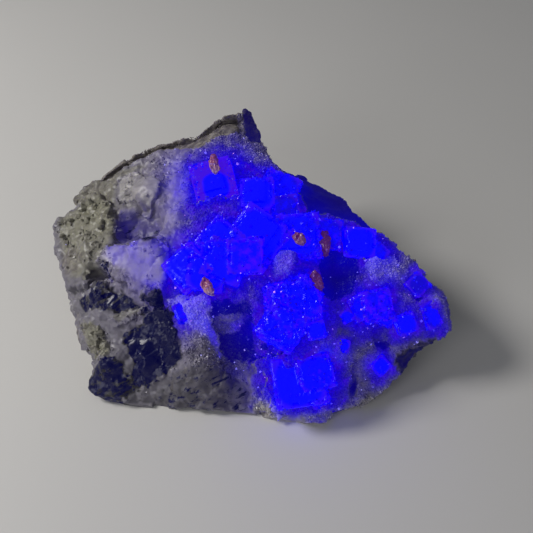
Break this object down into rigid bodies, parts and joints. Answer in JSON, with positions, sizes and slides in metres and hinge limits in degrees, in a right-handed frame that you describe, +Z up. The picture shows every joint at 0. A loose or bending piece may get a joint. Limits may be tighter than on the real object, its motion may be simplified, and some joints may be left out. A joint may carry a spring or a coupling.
{
  "type": "fluorite with quartz, mineral specimen",
  "caption": "Hand specimen of drusy quartz rock with blue fluorite cubes, glowing as under ultraviolet light, and stained grains on them.",
  "frame": {"origin": "middle of the specimen's box in plan, on the flat break that it lies on", "axes": "+Z up, +X along its length towards the narrow tip, -Y towards the slope with the crystals"},
  "size_m": [0.1094, 0.079, 0.0476],
  "materials": {
    "quartz": "sugary druse, satin to glassy",
    "fluorite": "vitreous",
    "grain": "satin"
  },
  "bodies": {
    "root": {"quartz_matrix": "quartz", "fluorite_phantom_cube": "fluorite", "fluorite_main_cluster": "fluorite", "fluorite_crack_cubes": "fluorite", "fluorite_frosted_mass": "fluorite", "fluorite_front_cubes": "fluorite", "fluorite_shelf_cubes": "fluorite", "fluorite_rim_cube": "fluorite", "fluorite_round_cube": "fluorite", "fluorite_tip_blade": "fluorite", "fluorite_low_wedge": "fluorite", "fluorite_speck_middle": "fluorite", "fluorite_speck_upper": "fluorite", "fluorite_speck_lower": "fluorite", "fluorite_left_speck": "fluorite", "stained_grain_on_cube": "grain", "stained_grain_left": "grain", "stained_grain_upper": "grain", "stained_grain_right": "grain", "stained_grain_middle": "grain"}
  },
  "joints": []
}
